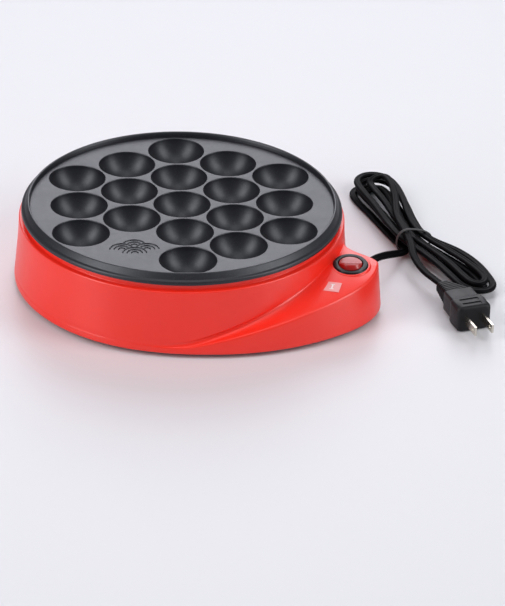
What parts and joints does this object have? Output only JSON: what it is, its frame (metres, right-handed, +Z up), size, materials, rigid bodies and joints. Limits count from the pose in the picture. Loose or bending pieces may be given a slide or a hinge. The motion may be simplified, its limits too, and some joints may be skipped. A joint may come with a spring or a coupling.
{
  "type": "takoyaki maker",
  "caption": "Round electric table-top cooker for batter balls: cupped lift-out plate, flared casing with a swept switch pod, rocker switch and a bundled mains cord.",
  "frame": {"origin": "bottom centre of the body's box on the table, cord and plug left out", "axes": "+Z up, +X towards the side with the switch pod, -Y towards the user's side that the picture shows"},
  "size_m": [0.3419, 0.2601, 0.0613],
  "materials": {
    "casing_red": "glossy moulded plastic",
    "cover_dark": "fine texture",
    "foot_rubber": "plain",
    "screw_steel": "zinc plated",
    "pan_steel": "bright sheet",
    "element_sheath": "heat-dulled sheath",
    "bushing_ceramic": "unglazed ceramic",
    "tab_brass": "stamped",
    "thermostat_black": "moulded",
    "fuse_ceramic": "ceramic tube",
    "wire_black": "sheathed",
    "wire_white": "sheathed",
    "wire_red": "sheathed",
    "plate_coated": "cast, black non-stick coat",
    "switch_black": "moulded",
    "rocker_red": "translucent red",
    "lamp_neon": "small neon tube",
    "label_film": "printed film",
    "cord_black": "moulded",
    "tie_black": "coated wire tie",
    "blade_brass": "nickel-plated"
  },
  "bodies": {
    "base": {"casing": "casing_red", "bottom_cover": "cover_dark", "foot_front_right": "foot_rubber", "foot_back_right": "foot_rubber", "foot_back_left": "foot_rubber", "foot_front_left": "foot_rubber", "cover_screws": "screw_steel", "reflector": "pan_steel", "reflector_screws": "screw_steel", "heating_element": "element_sheath", "element_clips": "pan_steel", "element_bushings": "bushing_ceramic", "element_tabs": "tab_brass", "thermostat": "thermostat_black", "thermal_fuse": "fuse_ceramic", "live_wire": "wire_black", "neutral_wire": "wire_white", "switched_wire": "wire_red", "heater_wires": "wire_white", "switch_housing": "switch_black", "rocker_pin": "screw_steel", "switch_tabs": "tab_brass", "switch_lamp": "lamp_neon", "position_label": "label_film", "cord_relief": "cord_black", "cord_inner": "cord_black", "cord_clamp": "cover_dark", "clamp_screws": "screw_steel", "cord_lead": "cord_black", "cord_hank": "cord_black", "cord_tie": "tie_black", "cord_tail": "cord_black", "plug_relief": "cord_black", "plug_body": "cord_black", "plug_blades": "blade_brass"},
    "plate": {"cooking_plate": "plate_coated"},
    "rocker": {"rocker": "rocker_red"}
  },
  "joints": [
    {"name": "plate_lift", "type": "slide", "parent": "base", "child": "plate", "axis": [0, 0, 1], "range_m": [0, 0.06]},
    {"name": "rocker_tilt", "type": "hinge", "parent": "base", "child": "rocker", "pos_m": [0.10581, -0.05366, 0.03561], "axis": [1, 0, 0], "range_deg": [0, 22]}
  ]
}
